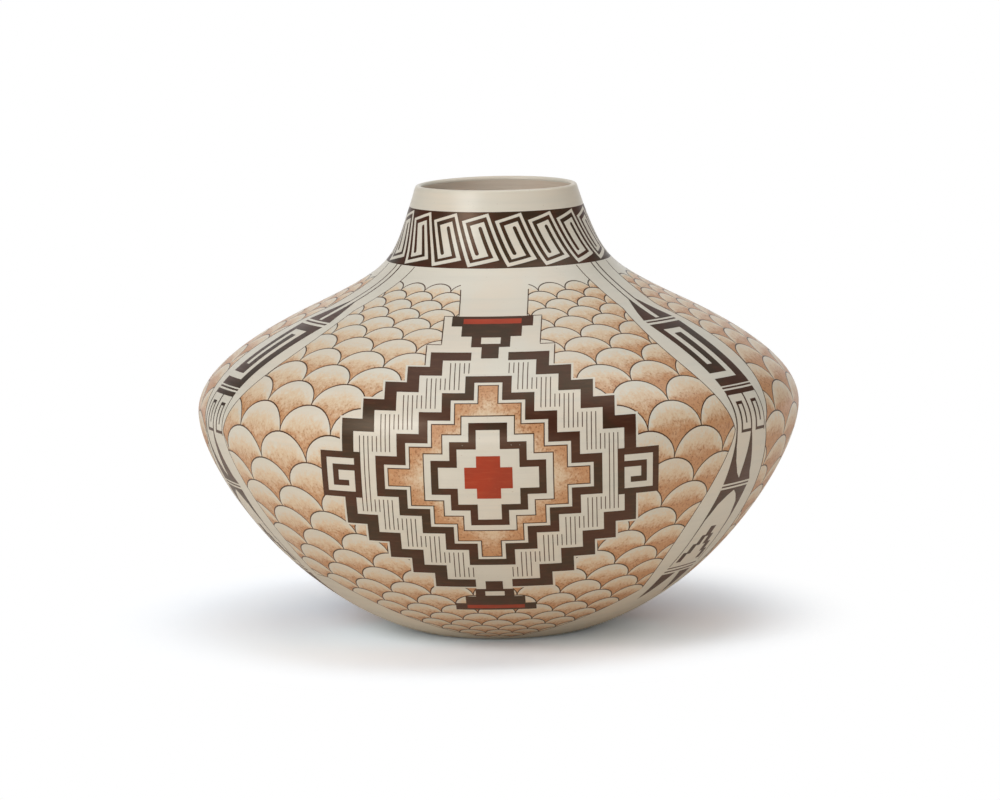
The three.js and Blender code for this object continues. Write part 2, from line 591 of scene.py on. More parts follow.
@dataclass
class ClayWall:
    """The seven stages of the clay wall, each a closed ring between two level seams. Sizes in millimetres."""

    form: WallForm
    step: float = 3.0  # between circles where the wall is nearly straight
    belly_step: float = 1.6
    belly_reach: float = 30.0  # how far from the widest circle the circles lie closer
    seam_support: float = 0.06  # from a seam to the circle that keeps its edge crisp
    heel_soft: float = 1.6
    heel_circles: int = 6
    floor_circles: int = 12  # where the floor curves up into the wall
    disc_circles: int = 8
    lip_facets: int = 16
    slip_depth: float = 2.4  # faces closer than this to the outer curve are slipped
    lip_reach: float = 0.5  # below the end of the outer curve, from where all of the lip is slipped
    underside: float = 0.6
    crease: float = math.radians(35)

    def stops(self, low: float, high: float) -> np.ndarray:
        """Spaces the circles of the wall, closer together round the belly.

        Args:
            low: Run of the first circle.
            high: Run of the last circle.

        Returns:
            The runs of all circles.
        """
        belly = self.form.run_at(self.form.belly_height)
        near = (belly - self.belly_reach, belly + self.belly_reach)
        marks = [low, *[mark for mark in near if low + 1 < mark < high - 1], high]
        spans = []
        for start, end in zip(marks, marks[1:]):
            inside = near[0] - 0.1 < (start + end) / 2 < near[1] + 0.1
            count = max(2, math.ceil((end - start) / (self.belly_step if inside else self.step)))
            spans.append(np.linspace(start, end, count + 1)[:-1])
        return np.concatenate([*spans, [high]])

    def outer(self, low: float, high: float) -> np.ndarray:
        """Draws the outer section between two heights, with a support circle by each seam.

        Args:
            low: Height of the lower seam.
            high: Height of the upper seam.

        Returns:
            Radii and heights, from the bottom up.
        """
        start, end = self.form.run_at(low), self.form.run_at(high)
        supports = [start + self.seam_support, end - self.seam_support]
        runs = np.sort(np.concatenate([self.stops(start, end), supports]))
        return np.stack([self.form.radius_at(runs), self.form.height_at(runs)], axis=1)

    def inner(self, low: float, high: float) -> np.ndarray:
        """Draws the inner section between two heights.

        Args:
            low: Height of the lower seam.
            high: Height of the upper seam.

        Returns:
            Radii and heights, from the top down.
        """
        form = self.form
        start, end = np.interp([low, high], form.inner_height, form.run)
        marks = np.linspace(start, end, max(3, round((end - start) / self.step)) + 1)[::-1]
        surfaces = form.inner_radius, form.inner_height
        return np.stack([np.interp(marks, form.run, surface) for surface in surfaces], axis=1)

    def base_section(self, high: float) -> np.ndarray:
        """Draws the base: level underside, softened heel, wall, and the floor back to the axis.

        Args:
            high: Height of the seam at its top.

        Returns:
            Radii and heights of the closed section.
        """
        form = self.form
        edge = np.array([form.foot_radius, 0.0])
        lead = edge - np.array([self.heel_soft, 0.0])
        tail = edge + 1.8 * self.heel_soft * climb(form.foot_slope, 1)
        outside = self.outer(0.0, high)
        outside = outside[outside[:, 0] > tail[0] + 0.3]
        seam = self.inner(high, high + 0.01)[-1]
        after = self.inner(high, high + 2.0)[0]
        way = (after - seam) / np.linalg.norm(after - seam)
        corner = seam + way * (form.floor - seam[1]) / way[1]
        rest, middle = np.array([form.floor_radius, form.floor]), np.array([0.0, form.floor])
        disc = np.linspace(0.0, 1.0, self.disc_circles)[:, None]
        return np.concatenate([
            (disc * lead)[:-1], bend(lead, edge, tail, self.heel_circles), outside,
            bend(seam, corner, rest, self.floor_circles), (rest + disc * (middle - rest))[1:],
        ])

    def rim_section(self, low: float) -> np.ndarray:
        """Draws the rim: outside, half-round lip and inside.

        Args:
            low: Height of the seam at its foot.

        Returns:
            Radii and heights of the closed section.
        """
        form = self.form
        outer_end = np.array([form.radius[-1], form.height[-1]])
        inner_end = np.array([form.inner_radius[-1], form.inner_height[-1]])
        centre = (outer_end + inner_end) / 2
        reach = outer_end - centre
        turns = np.linspace(0, math.pi, self.lip_facets + 1)[1:-1, None]
        lip = centre + reach * np.cos(turns) + reach[::-1] * [-1, 1] * np.sin(turns)
        return np.concatenate([self.outer(low, outer_end[1]), lip, self.inner(low, inner_end[1])])

    def section(self, stage: Stage) -> np.ndarray:
        """Draws the closed section of a stage.

        Args:
            stage: The stage.

        Returns:
            Radii and heights, in order.
        """
        order = list(Stage)
        high = self.form.seams[stage.value]
        if stage is Stage.BASE:
            return self.base_section(high)
        low = self.form.seams[order[order.index(stage) - 1].value]
        if stage is Stage.RIM:
            return self.rim_section(low)
        return np.concatenate([self.outer(low, high), self.inner(low, high)])

    def spin(self, name: str, section: np.ndarray) -> bpy.types.Object:
        """Turns a section round the axis into a closed solid.

        Args:
            name: Name of the piece.
            section: Radii and heights, in order.

        Returns:
            The new object, at the origin.
        """
        bpy.ops.object.select_all(action="DESELECT")
        bpy.ops.mesh.primitive_circle_add(vertices=len(section), radius=self.form.belly_radius * MM)
        piece = bpy.context.object
        piece.name = piece.data.name = name
        for vertex, (radius, height) in zip(piece.data.vertices, section):
            vertex.co = (0.0, -radius * MM, height * MM)
        steps: tuple[tuple[Callable, dict], ...] = (
            (bpy.ops.mesh.spin, {"steps": AROUND, "angle": TURN, "center": (0, 0, 0), "axis": (0, 0, 1),
                                 "use_auto_merge": True}),
            (bpy.ops.mesh.remove_doubles, {"threshold": 1e-6}),
            (bpy.ops.mesh.delete_loose, {}),
            (bpy.ops.mesh.normals_make_consistent, {"inside": False}),
        )
        bpy.ops.object.mode_set(mode="EDIT")
        for operate, settings in steps:
            bpy.ops.mesh.select_all(action="SELECT")
            operate(**settings)
        bpy.ops.object.mode_set(mode="OBJECT")
        return piece

    def work_by_hand(self, piece: bpy.types.Object, section: np.ndarray) -> None:
        """Makes the turned ring slightly uneven and gives it a UV map that follows the section.

        Args:
            piece: The ring.
            section: The section that it was turned from.
        """
        mesh = piece.data
        corners = np.zeros(len(mesh.vertices) * 3)
        mesh.vertices.foreach_get("co", corners)
        x, y, z = corners.reshape(-1, 3).T / MM
        radius, azimuth = np.hypot(x, y), np.arctan2(x, -y)
        mesh.vertices.foreach_set("co", self.form.hand.shape(radius, azimuth, z).ravel())
        ends = np.concatenate([section, section[:1]])
        length = np.concatenate([[0.0], np.cumsum(np.hypot(*np.diff(ends, axis=0).T))])
        nearest = [int(np.argmin(np.hypot(section[:, 0] - r, section[:, 1] - h))) for r, h in zip(radius, z)]
        loops = np.zeros(len(mesh.loops), int)
        mesh.loops.foreach_get("vertex_index", loops)
        turn, along = azimuth[loops] / TURN + 0.5, (length[nearest] / length[-1])[loops]
        for polygon in mesh.polygons:
            own = slice(polygon.loop_start, polygon.loop_start + polygon.loop_total)
            middle = math.atan2(polygon.center.x, -polygon.center.y) / TURN + 0.5
            turn[own] -= np.round(turn[own] - middle)
            turn[own][radius[loops[own]] < 1e-3] = middle
            if np.ptp(along[own]) > 0.5:
                along[own] += along[own] < 0.5
        layer = mesh.uv_layers.new(name="OFBake")
        layer.data.foreach_set("uv", np.clip(np.stack([turn, along], 1), 0, 1).ravel())
        mesh.update()

    def dress(self, piece: bpy.types.Object, outside: bpy.types.Material, inside: bpy.types.Material) -> None:
        """Gives the outside and the lip their slip or paint, and leaves the clay bare elsewhere.

        Args:
            piece: The ring.
            outside: Its slip or paint.
            inside: The bare clay.
        """
        form = self.form
        piece.data.materials.append(outside)
        piece.data.materials.append(inside)
        for polygon in piece.data.polygons:
            x, y, height = polygon.center / MM
            near = abs(math.hypot(x, y) - np.interp(height, form.height, form.radius)) < self.slip_depth
            at_end = height > form.height[-1] - self.lip_reach or height < self.underside
            polygon.material_index = 0 if (near and not self._is_seam(polygon)) or at_end else 1
        bpy.ops.object.select_all(action="DESELECT")
        piece.select_set(True)
        bpy.context.view_layer.objects.active = piece
        bpy.ops.object.shade_smooth_by_angle(angle=self.crease)

    def _is_seam(self, polygon: bpy.types.MeshPolygon) -> bool:
        """Tells whether a face is part of a level seam between two stages.

        Args:
            polygon: The face.

        Returns:
            Whether it is level and stands at the height of a seam.
        """
        height = polygon.center.z / MM
        near = any(abs(height - level) < 0.02 for level in self.form.seams.values())
        return near and abs(polygon.normal.z) > 0.999

    def build(self, slip: bpy.types.Material, dark: bpy.types.Material,
              clay: bpy.types.Material) -> list[bpy.types.Object]:
        """Makes all stages and puts each in its CAD node's place.

        Args:
            slip: Finish of the outside.
            dark: Finish of the outside of the neck.
            clay: Finish of the inside.

        Returns:
            The seven pieces, from the bottom up.
        """
        pieces = []
        for stage in Stage:
            section = self.section(stage)
            piece = self.spin(f"{stage.value}_clay", section)
            self.work_by_hand(piece, section)
            self.dress(piece, dark if stage is Stage.NECK else slip, clay)
            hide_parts(stage.value)
            pieces.append(piece)
        return pieces


# ---------------------------------------------------------------- drawing on the chart


class Paint(Enum):
    """What a shape on the wall is painted with. RESERVE leaves the slip bare."""

    RESERVE = "reserve"
    DARK = "dark"
    WASH = "wash"
    RED = "red"
    CREAM = "cream"


Shade = Callable[[np.ndarray, np.ndarray], np.ndarray]


@dataclass
class Patch:
    """One painted shape, which covers whatever was painted before it.

    Attributes:
        outline: Corners on the chart, azimuth in radians and run in millimetres.
        paint: Its paint.
        shade: Strength of a wash, from the middles and the corners of its triangles.
        crosses: Whether it may lie outside the field's own edge.
    """

    outline: np.ndarray
    paint: Paint
    shade: Shade | None = None
    crosses: bool = False


@dataclass
class Brush:
    """Draws shapes that are given flat, in millimetres, on the chart of the wall."""

    form: WallForm
    axis: Callable[[np.ndarray], np.ndarray]
    reach: float = 3.5  # longest stretch round the jar between two points of an edge
    climb: float = 1.6  # longest stretch up the wall

    def chart(self, points: Sequence[Sequence[float]]) -> np.ndarray:
        """Moves flat points, sideways from the axis and run, to the chart."""
        side, run = np.asarray(points, float).T
        return np.stack([self.axis(run) + side / self.form.radius_at(run), run], axis=1)

    def refine(self, points: Sequence[Sequence[float]], closed: bool = True) -> np.ndarray:
        """Adds points along straight edges, so that they can follow the curve of the wall.

        Args:
            points: Corners of a shape or a path.
            closed: Whether the last corner runs back to the first.

        Returns:
            All points in order.
        """
        corners = np.asarray(points, float)
        ends = np.roll(corners, -1, axis=0) if closed else corners[1:]
        spans = []
        for start, end in zip(corners, ends):
            side, rise = np.abs(end - start)
            count = max(1, math.ceil(side / self.reach), math.ceil(rise / self.climb))
            spans.append(start + (end - start) * np.linspace(0, 1, count, endpoint=False)[:, None])
        return np.concatenate(spans if closed else [*spans, corners[-1:]])

    def area(self, points: Sequence[Sequence[float]], paint: Paint, shade: Shade | None = None) -> Patch:
        """A shape with straight edges."""
        return Patch(self.chart(self.refine(points)), paint, shade)

    def bar(self, left: float, right: float, low: float, high: float, paint: Paint = Paint.DARK) -> Patch:
        """A block between two sides and two runs, each given in either order."""
        (left, right), (low, high) = sorted((left, right)), sorted((low, high))
        return self.area([(left, low), (right, low), (right, high), (left, high)], paint)

    def line(self, points: Sequence[Sequence[float]], width: float) -> Patch:
        """A dark brush line of a given width through flat points."""
        return self.stroke(self.chart(self.refine(points, closed=False)), width)

    def stroke(self, path: np.ndarray, width: float | np.ndarray, crosses: bool = False) -> Patch:
        """Draws a dark brush line along chart points, square to its path on the wall.

        Args:
            path: Chart points in order.
            width: Width in millimetres, one value or one for each point.
            crosses: Whether it may lie outside the field.

        Returns:
            The closed patch.
        """
        radius = self.form.radius_at(path[:, 1])
        flat = np.gradient(path, axis=0) * np.stack([radius, np.ones_like(radius)], axis=1)
        flat /= np.linalg.norm(flat, axis=1)[:, None]
        half = np.broadcast_to(np.asarray(width, float) / 2, radius.shape)
        offset = np.stack([-flat[:, 1] * half / radius, flat[:, 0] * half], axis=1)
        return Patch(np.concatenate([path + offset, (path - offset)[::-1]]), Paint.DARK, crosses=crosses)


def inset(points: Sequence[Sequence[float]], depth: float) -> np.ndarray:
    """Moves every edge of an anticlockwise outline inwards.

    Args:
        points: Corners of the outline.
        depth: How far, or less than nothing to move the edges outwards.

    Returns:
        The new corners.
    """
    corners = np.asarray(points, float)
    after = np.roll(corners, -1, axis=0) - corners
    outward = np.stack([after[:, 1], -after[:, 0]], axis=1) / np.linalg.norm(after, axis=1)[:, None]
    before = np.roll(outward, 1, axis=0)
    share = 1 + np.sum(outward * before, axis=1)
    return corners - depth * (outward + before) / share[:, None]


def terrace(half: float, steps: int) -> np.ndarray:
    """Draws a lozenge whose four sides climb in square steps.

    Args:
        half: Half its width and height.
        steps: Steps of each side.

    Returns:
        Its corners, anticlockwise from its right tip.
    """
    tread = half / steps
    quarter = []
    for level in range(steps):
        reach = half - level * tread
        quarter += [(reach, level * tread), (reach, (level + 1) * tread)]
    quarter = np.array(quarter[1:])
    left = (quarter * [-1, 1])[::-1]
    return np.concatenate([quarter, left, quarter * [-1, -1], (quarter * [1, -1])[::-1]])


@dataclass
class Sheet:
    """Triangles of one paint on the chart: their points, corner numbers, corner places and wash strength."""

    chart: np.ndarray
    faces: np.ndarray
    corners: np.ndarray
    shades: np.ndarray


@dataclass
class PaintedField:
    """A stretch of the wall whose patches are cut against each other and laid on as films."""

    name: str
    form: WallForm
    first: float  # azimuths and runs of its edges
    last: float
    low: float
    high: float
    inside: Callable[[np.ndarray], np.ndarray] | None = None  # tells which chart points lie within its outline
    patches: list[Patch] = field(default_factory=list)
    proud: float = 0.05  # how far a film stands off the wall, in millimetres
    sunk: float = 0.05  # and how far it reaches into it
    weld: float = 1e-4  # millimetres on the unrolled belly under which two points of the cut are one
    digits: int = 5  # to which two chart points must agree to be one corner of a film

    def lattice(self) -> np.ndarray:
        """Spreads points between the outlines, on the same meridians as the clay wall's own.

        Returns:
            Their places on the chart.
        """
        first, last = math.ceil(self.first / SEGMENT - 1e-6), math.floor(self.last / SEGMENT + 1e-6)
        azimuths = np.arange(first, last + 1) * SEGMENT
        runs = ClayWall(self.form).stops(self.low, self.high)
        return np.array([(a, r) for a in azimuths for r in runs])

    def cut(self) -> tuple[np.ndarray, np.ndarray, np.ndarray]:
        """Cuts all patches against each other.

        Returns:
            Chart points, triangles, and for each triangle the number of the patch on top, or -1.
        """
        first, last, low, high = self.first, self.last, self.low, self.high
        edge = np.array([(first, low), (last, low), (last, high), (first, high)])
        outlines = [edge, *[patch.outline for patch in self.patches]]
        scale = np.array([self.form.belly_radius, 1.0])
        points, faces = [], []
        for outline in outlines:
            flat = outline * scale
            area = np.sum(flat[:, 0] * np.roll(flat[:, 1], -1) - flat[:, 1] * np.roll(flat[:, 0], -1))
            order = list(range(len(points), len(points) + len(flat)))
            faces.append(order if area > 0 else order[::-1])
            points += flat.tolist()
        points += (self.lattice() * scale).tolist()
        result = geometry.delaunay_2d_cdt([Vector(p) for p in points], [], faces, 0, self.weld, True)
        places = np.array([tuple(p) for p in result[0]]) / scale
        triangles = np.array(result[2])
        top = np.array([max(owners, default=0) - 1 for owners in result[5]])
        middle = places[triangles].mean(axis=1)
        azimuth, run = middle.T
        top[(azimuth < first) | (azimuth > last) | (run < low) | (run > high)] = -1
        if self.inside is not None:
            bound = np.array([not patch.crosses for patch in self.patches] + [False])
            top[bound[top] & ~self.inside(middle)] = -1
        return places, triangles, top

    def film(self, paint: Paint, places: np.ndarray, triangles: np.ndarray, top: np.ndarray,
             finish: bpy.types.Material) -> bpy.types.Object | None:
        """Lays one paint on the wall as a closed film.

        Args:
            paint: The paint to lay.
            places: Chart points.
            triangles: Corner numbers of all triangles.
            top: Patch on top of each triangle.
            finish: Its material.

        Returns:
            The piece, or None where nothing is painted.
        """
        kinds = [patch.paint for patch in self.patches]
        mine = np.array([owner >= 0 and kinds[owner] is paint for owner in top])
        if not mine.any():
            return None
        faces, owners = triangles[mine], top[mine]
        shades = np.zeros((len(faces), 3))
        for owner in np.unique(owners):
            shade = self.patches[owner].shade
            if shade is not None:
                chosen = owners == owner
                corners = places[faces[chosen]]
                shades[chosen] = shade(corners.mean(axis=1), corners)
        corners = places[faces]
        turned = np.round(np.stack([np.mod(places[:, 0], TURN), places[:, 1]], 1), self.digits)
        _, keep, same = np.unique(turned, axis=0, return_index=True, return_inverse=True)
        faces = same.reshape(-1)[faces]
        proper = np.all(faces != np.roll(faces, 1, axis=1), axis=1)
        used, faces = np.unique(faces[proper], return_inverse=True)
        sheet = Sheet(places[keep[used]], faces.reshape(-1, 3), corners[proper], shades[proper])
        return self._closed_film(f"{self.name}_{paint.value}", sheet, finish)

    def _closed_film(self, name: str, sheet: Sheet, finish: bpy.types.Material) -> bpy.types.Object:
        """Gives a sheet of triangles its thickness, smooth normals, UV map and stored wash strength.

        Args:
            name: Name of the piece.
            sheet: Its triangles on the chart.
            finish: Its material.

        Returns:
            The new object, at the origin.
        """
        azimuth, run = sheet.chart.T
        faces, sides = sheet.faces, self._sides(sheet)
        outer, under = (self.form.place(azimuth, run, proud) for proud in (self.proud, -self.sunk))
        mesh = bpy.data.meshes.new(name)
        corners = np.concatenate([faces, faces[:, ::-1] + len(azimuth), sides])
        mesh.from_pydata(np.concatenate([outer, under]).tolist(), [], corners.tolist())
        mesh.materials.append(finish)
        self._lay_map(mesh, sheet, sides)
        self._smooth(mesh, faces, self.form.normals(azimuth, run))
        piece = bpy.data.objects.new(name, mesh)
        bpy.context.scene.collection.objects.link(piece)
        return piece

    @staticmethod
    def _sides(sheet: Sheet) -> np.ndarray:
        """Joins the two sides of a film all round its edge.

        Args:
            sheet: The triangles of one side, whose points are followed by those of the other side.

        Returns:
            Corner numbers of the narrow triangles between them.
        """
        count, faces = len(sheet.chart), sheet.faces
        edges = np.concatenate([faces[:, [0, 1]], faces[:, [1, 2]], faces[:, [2, 0]]])
        codes = edges[:, 0] * count + edges[:, 1]
        start, end = edges[~np.isin(codes, edges[:, 1] * count + edges[:, 0])].T
        below = start + count
        return np.concatenate([np.stack([start, below, end], 1), np.stack([end, below, end + count], 1)])

    @staticmethod
    def _lay_map(mesh: bpy.types.Mesh, sheet: Sheet, sides: np.ndarray) -> None:
        """Stores the strength of the wash, and the chart as UV map.

        Args:
            mesh: The film.
            sheet: Its triangles on the chart.
            sides: Corner numbers of the triangles round its edge.
        """
        chart, shades = sheet.chart, sheet.shades
        strength = np.concatenate([shades, shades[:, ::-1], np.full(sides.shape, shades.mean())])
        mesh.attributes.new("shade", "FLOAT", "CORNER").data.foreach_set("value", strength.ravel())
        walls = chart[sides % len(chart)]
        walls[..., 0] -= TURN * np.round((walls[..., 0] - walls[:, :1, 0]) / TURN)
        spots = np.concatenate([sheet.corners, sheet.corners[:, ::-1], walls]).reshape(-1, 2)
        spread = (spots - chart.min(axis=0)) / np.ptp(chart, axis=0)
        mesh.uv_layers.new(name="OFBake").data.foreach_set("uv", np.clip(spread, 0, 1).ravel())

    @staticmethod
    def _smooth(mesh: bpy.types.Mesh, faces: np.ndarray, normals: np.ndarray) -> None:
        """Lets both sides of a film shade as the wall does, and its edge as flat faces.

        Args:
            mesh: The film.
            faces: Corner numbers of the triangles of its upper side.
            normals: The wall's normals at its points.
        """
        mesh.shade_smooth()
        mesh.update()
        flat = np.zeros(len(mesh.polygons) * 3)
        mesh.polygons.foreach_get("normal", flat)
        corner = np.repeat(flat.reshape(-1, 3), 3, axis=0)
        size = faces.size
        corner[:size] = normals[faces.ravel()]
        corner[size:2 * size] = -normals[faces[:, ::-1].ravel()]
        mesh.normals_split_custom_set(corner.tolist())

    def paint(self, finishes: dict[Paint, tuple[bpy.types.Material, str]]) -> list[bpy.types.Object]:
        """Cuts the patches and lays each paint.

        Args:
            finishes: Material of each paint, with a record slot that is not used.

        Returns:
            The films.
        """
        places, triangles, top = self.cut()
        films = []
        for paint, (finish, slot) in finishes.items():
            film = self.film(paint, places, triangles, top, finish)
            if film is not None:
                films.append(film)
        return films


# ---------------------------------------------------------------- motifs


@dataclass
class KeyBand:
    """The slanting key pattern that is left in cream round the dark neck."""

    form: WallForm
    units: int = 17
    first_corner: float = math.radians(-1.8)
    tilt: float = math.radians(15.5)
    length: float = 308.0  # round the middle of the band, to which the bars are drawn
    slant: float = 30.7  # height of the band in the same drawing
    middle: tuple[float, float] = (8.93, 15.4)  # of a unit, from its corner
    finger: tuple[float, float] = (2.94, 6.1)  # middle of the round end of a dark finger, in the unit's frame
    finger_radius: float = 0.99
    twist: float = math.radians(2.9)  # how far the foot of each unit is turned to the right
    drift: float = math.radians(2.5)  # how that turn varies round the neck

    def outline(self) -> np.ndarray:
        """Draws one unit: a cream path that folds round the round ends of two dark fingers.

        Returns:
            Its corners, in its own tilted frame.
        """
        turn = np.linspace(math.pi, 0, 9)
        finger = self.finger_radius * np.stack([np.cos(turn), np.sin(turn)], axis=1) + self.finger
        return np.concatenate([
            [(-9.3, -12.5), (5.98, -12.5), (5.98, 8.9), (-1.95, 8.9)], -finger,
            [(-3.93, 11.0), (8.03, 11.0), (8.03, -17.25), (9.73, -17.25), (9.73, 12.5), (-5.73, 12.5)],
            [(-5.73, -8.9), (1.95, -8.9)], finger, [(3.93, -10.5), (-9.3, -10.5)],
        ])

    def patches(self, low: float, high: float) -> list[Patch]:
        """Draws the cream shapes of all units on the chart.

        Args:
            low: Run of the band's lower edge.
            high: Run of its upper edge.

        Returns:
            The shapes, some of which reach past the ends of the field.
        """
        outline = Brush(self.form, np.zeros_like).refine(self.outline())
        cosine, sine = math.cos(self.tilt), math.sin(self.tilt)
        turn = np.array([[cosine, -sine], [sine, cosine]])
        shapes = []
        for unit in range(-self.units // 2 - 1, self.units // 2 + 2):
            flat = outline @ turn.T + self.middle + [unit * self.length / self.units, 0]
            azimuth = self.first_corner + flat[:, 0] / self.length * TURN
            azimuth += (self.twist - self.drift * np.sin(azimuth)) * (1 - flat[:, 1] / self.slant)
            run = low + flat[:, 1] / self.slant * (high - low)
            shapes.append(Patch(np.stack([azimuth, run], 1), Paint.CREAM))
        return shapes

    def field(self) -> PaintedField:
        """Lays the band out once round the neck.

        Returns:
            Its field.
        """
        low, high = self.form.run_at(self.form.seams["shoulder"]), self.form.run_at(self.form.neck_top)
        shapes = self.patches(low, high)
        return PaintedField("neck_key", self.form, -math.pi, math.pi, low, high, patches=shapes)


@dataclass
class DividerStrip:
    """A tall painted strip that parts two panels, with its thin framing lines."""

    form: WallForm
    name: str
    centre: float  # degrees at the belly
    lean: float  # degrees to the side for each millimetre up
    neck_turn: float = 0.0  # further degrees to the side at the neck
    turn_from: float = 75.0  # millimetres above the belly where that turn starts
    turn_over: float = 50.0  # and how far it takes
    half: float = 12.0
    opening: float = 13.2  # from the middle to the framing lines where they draw in
    upper_lens: float = 10.4
    lower_lens: float = 12.0
    touch: float = 154.0  # run where the framing lines draw in
    upper_end: float = 240.0
    lower_end: float = 38.0
    field_reach: float = 0.36  # radians from the middle to the sides of the field
    field_low: float = 36.0

    def axis(self, run: np.ndarray) -> np.ndarray:
        """Finds the strip's middle.

        Args:
            run: Runs in millimetres.

        Returns:
            Its azimuth at each of them.
        """
        above = np.asarray(run, float) - self.form.run_at(self.form.belly_height)
        turned = self.neck_turn * smooth((above - self.turn_from) / self.turn_over)
        return np.radians(self.centre + self.lean * above + turned)

    def frame_reach(self, run: np.ndarray) -> np.ndarray:
        """Measures the distance from the strip's middle to its framing lines.

        Args:
            run: Runs in millimetres.

        Returns:
            The distance at each of them, in millimetres.
        """
        up = np.clip((run - self.touch) / (self.upper_end - self.touch), 0, 1)
        down = np.clip((self.touch - run) / (self.touch - self.lower_end), 0, 1)
        return self.opening + self.upper_lens * np.sin(math.pi * up) + self.lower_lens * np.sin(math.pi * down)

    def frame_edge(self, run: np.ndarray, side: int) -> np.ndarray:
        """Azimuth of the framing line on one side."""
        return self.axis(run) + side * self.frame_reach(run) / self.form.radius_at(run)

    def patches(self) -> list[Patch]:
        """Paints the motifs of the strip, from the neck down.

        Returns:
            The shapes, in the order in which they are painted.
        """
        brush = Brush(self.form, self.axis)
        motifs = (self._tapers, self._key_block, self._hooks, self._leaves, self._foot)
        return [shape for motif in motifs for shape in motif(brush)]

    def _tapers(self, brush: Brush) -> list[Patch]:
        """Paints two lines from the neck that widen into dark tapers with a cream sliver between them.

        Args:
            brush: Draws on the wall.

        Returns:
            The shapes, in the order in which they are painted.
        """
        half = self.half - 0.4
        top = self.form.run_at(self.form.seams["shoulder"]) - 0.1
        outline = [(-2.7, 247), (-half, 227.8), (half, 227.8), (2.7, 247),
                   (1.9, 247), (1.6, 228.8), (-1.6, 228.8), (-1.9, 247)]
        return [
            brush.line([(-2.3, 246), (-2.1, top)], 0.8),
            brush.line([(2.3, 246), (2.1, top)], 0.9),
            brush.area(outline, Paint.DARK),
            brush.bar(-half, half, 225.4, 226.5),
        ]

    def _key_block(self, brush: Brush) -> list[Patch]:
        """Paints a dark block with a cream key that turns inwards, and the stripes below it.

        Args:
            brush: Draws on the wall.

        Returns:
            The shapes, in the order in which they are painted.
        """
        bare = Paint.RESERVE
        return [
            brush.bar(-self.half, self.half, 176.2, 223.7),
            brush.bar(-7.6, 5.5, 214.9, 218.8, bare),
            brush.bar(-7.6, -3.8, 190.2, 216.0, bare),
            brush.bar(1.2, 5.5, 181.5, 216.0, bare),
            brush.bar(-self.half - 0.3, 5.5, 180.8, 184.4, bare),
            brush.bar(-self.half, self.half, 174.5, 175.4),
            brush.bar(-self.half, self.half, 171.0, 173.5),
        ]

    def _hooks(self, brush: Brush) -> list[Patch]:
        """Paints two thin hooks side by side, on the upper side of the belly.

        Args:
            brush: Draws on the wall.

        Returns:
            The shapes, in the order in which they are painted.
        """
        shapes = [
            brush.bar(-12.3, -11.4, 151.5, 171.2),
            brush.bar(-0.5, 0.5, 151.5, 171.2),
            brush.bar(11.6, 12.1, 151.5, 171.2),
        ]
        for left, end in ((-8.3, 0.2), (3.8, 12.0)):
            shapes += [
                brush.bar(left, left + 1.1, 152.2, 167.3),
                brush.bar(left, left + 4.8, 165.8, 167.3),
                brush.bar(left + 3.8, left + 4.8, 156.6, 166.5),
                brush.bar(left, end, 152.2, 153.6),
            ]
        return shapes

    def _leaves(self, brush: Brush) -> list[Patch]:
        """Paints a plain leaf that points down, a stripe, and a plain leaf that points up.

        Args:
            brush: Draws on the wall.

        Returns:
            The shapes, in the order in which they are painted.
        """
        half = self.half - 0.4
        down = [
            (-12.3, 152), (-half, 125.4), (half, 125.4), (8.4, 130), (5.2, 138), (2.2, 146), (0.5, 152), (-0.5, 152),
            (-0.5, 139), (-0.3, 132), (0.1, 127.5), (-3.6, 131), (-8.0, 138), (-10.6, 145.5), (-11.4, 152),
        ]
        up = [
            (-half, 122.2), (-12.7, 104), (-13.0, 92), (-12.5, 92), (-11.8, 104), (-8.2, 113.5), (-3.4, 118.6),
            (0.2, 120.9), (3.6, 118.4), (8.0, 113), (11.2, 103), (12.0, 92), (12.5, 92), (12.3, 104), (half, 122.2),
        ]
        return [brush.area(down, Paint.DARK), brush.bar(-half, half, 123.4, 124.3), brush.area(up, Paint.DARK)]

    def _foot(self, brush: Brush) -> list[Patch]:
        """Paints side lines, a stepped peak, stripes and the last two tapers, down to the base.

        Args:
            brush: Draws on the wall.

        Returns:
            The shapes, in the order in which they are painted.
        """
        shapes = [brush.line([(side * 12.6, 93), (side * 12.9, 73)], 0.5) for side in (-1, 1)]
        for level in range(4):
            reach, low = 10.4 - 2.75 * level, 75.5 + 5.6 * level
            shapes += [brush.bar(side * reach, side * (reach - 3.5), low, low + 6.8) for side in (-1, 1)]
        shapes += [brush.bar(-12.8, 12.8, 71.0, 71.8), brush.bar(-12.8, 12.8, 68.2, 69.2)]
        taper = ((12.8, 66.6), (2.2, 66.6), (8.6, 50), (10.6, 46))
        shapes += [brush.area([(side * x, run) for x, run in taper], Paint.DARK) for side in (-1, 1)]
        return shapes

    def field(self) -> PaintedField:
        """Lays the strip out between the base and the neck.

        Returns:
            Its field.
        """
        centre, shapes = math.radians(self.centre), self.patches()
        first, last = centre - self.field_reach, centre + self.field_reach
        high = self.form.run_at(self.form.seams["shoulder"]) - BELOW_NECK
        return PaintedField(f"{self.name}_divider", self.form, first, last, self.field_low, high, patches=shapes)


